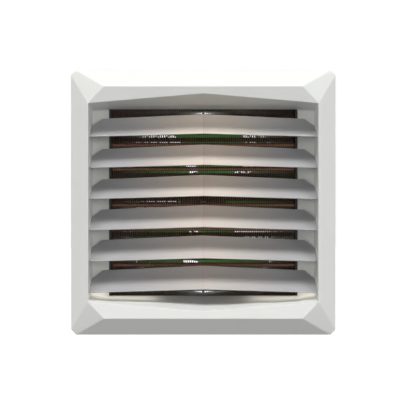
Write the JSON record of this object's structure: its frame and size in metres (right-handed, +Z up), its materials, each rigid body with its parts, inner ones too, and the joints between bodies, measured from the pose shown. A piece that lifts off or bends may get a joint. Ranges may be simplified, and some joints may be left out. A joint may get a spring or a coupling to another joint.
{
  "type": "fan heater",
  "caption": "Ceiling mounted water-coil fan heater: square louvred front cover, finned coil, and a guarded axial fan at the rear.",
  "frame": {"origin": "centre of the whole object's box: middle of the square front, half way from the front plane to the terminal cover", "axes": "+Z up, the louvred front faces -Y, +X to the right when looking at the front"},
  "size_m": [0.536, 0.345, 0.536],
  "materials": {
    "white_plastic": "satin moulded",
    "louvre_plastic": "satin moulded",
    "grey_plastic": "fine moulded grain",
    "fin_aluminium": "thin plain fins",
    "dark_steel": "dark painted sheet",
    "copper": "plain copper tube",
    "brass": "machined",
    "foam": "closed-cell foam",
    "rubber": "moulded",
    "cast_aluminium": "die cast",
    "steel": "zinc plated",
    "black_plastic": "fine grain",
    "green_plastic": "moulded",
    "black_wire": "powder coated"
  },
  "bodies": {
    "casing": {"front_cover": "white_plastic", "rear_casing": "grey_plastic", "fin_pack": "fin_aluminium", "coil_left_plate": "dark_steel", "coil_right_plate": "dark_steel", "coil_top_channel": "dark_steel", "coil_bottom_channel": "dark_steel", "supply_header": "copper", "return_header": "copper", "supply_connection": "brass", "return_connection": "brass", "air_vent": "brass", "drain_plug": "brass", "suspension_insert_1": "brass", "suspension_insert_2": "brass", "suspension_insert_3": "brass", "suspension_insert_4": "brass", "coil_seal": "foam", "supply_grommet": "rubber", "return_grommet": "rubber", "motor_stator": "cast_aluminium", "electronics_housing": "cast_aluminium", "front_bearing": "steel", "rear_bearing": "steel", "casing_screw_1": "steel", "casing_screw_2": "steel", "casing_screw_3": "steel", "casing_screw_4": "steel", "coil_screw_1": "steel", "coil_screw_2": "steel", "coil_screw_3": "steel", "coil_screw_4": "steel", "guard_screw_1": "steel", "guard_screw_2": "steel", "guard_screw_3": "steel", "guard_screw_4": "steel", "motor_screw_1": "steel", "motor_screw_2": "steel", "motor_screw_3": "steel", "motor_screw_4": "steel", "terminal_screw_1": "steel", "terminal_screw_2": "steel", "terminal_cover": "black_plastic", "cable_gland": "black_plastic", "fan_guard": "black_wire"},
    "fan": {"motor_rotor": "black_plastic", "motor_shaft": "steel", "retaining_ring": "steel", "fan_impeller": "green_plastic"},
    "louvre_1": {"louvre_1": "louvre_plastic"},
    "louvre_2": {"louvre_2": "louvre_plastic"},
    "louvre_3": {"louvre_3": "louvre_plastic"},
    "louvre_4": {"louvre_4": "louvre_plastic"},
    "louvre_5": {"louvre_5": "louvre_plastic"},
    "louvre_6": {"louvre_6": "louvre_plastic"}
  },
  "joints": [
    {"name": "fan_spin", "type": "hinge", "parent": "casing", "child": "fan", "pos_m": [0, 0.0775, 0], "axis": [0, 1, 0], "continuous": true},
    {"name": "louvre_1_tilt", "type": "hinge", "parent": "casing", "child": "louvre_1", "pos_m": [0, -0.125, 0.1455], "axis": [1, 0, 0], "range_deg": [-37, 35]},
    {"name": "louvre_2_tilt", "type": "hinge", "parent": "casing", "child": "louvre_2", "pos_m": [0, -0.125, 0.0825], "axis": [1, 0, 0], "range_deg": [-37, 35]},
    {"name": "louvre_3_tilt", "type": "hinge", "parent": "casing", "child": "louvre_3", "pos_m": [0, -0.125, 0.0195], "axis": [1, 0, 0], "range_deg": [-37, 35]},
    {"name": "louvre_4_tilt", "type": "hinge", "parent": "casing", "child": "louvre_4", "pos_m": [0, -0.125, -0.0435], "axis": [1, 0, 0], "range_deg": [-37, 35]},
    {"name": "louvre_5_tilt", "type": "hinge", "parent": "casing", "child": "louvre_5", "pos_m": [0, -0.125, -0.1065], "axis": [1, 0, 0], "range_deg": [-37, 35]},
    {"name": "louvre_6_tilt", "type": "hinge", "parent": "casing", "child": "louvre_6", "pos_m": [0, -0.125, -0.1695], "axis": [1, 0, 0], "range_deg": [-37, 35]}
  ]
}
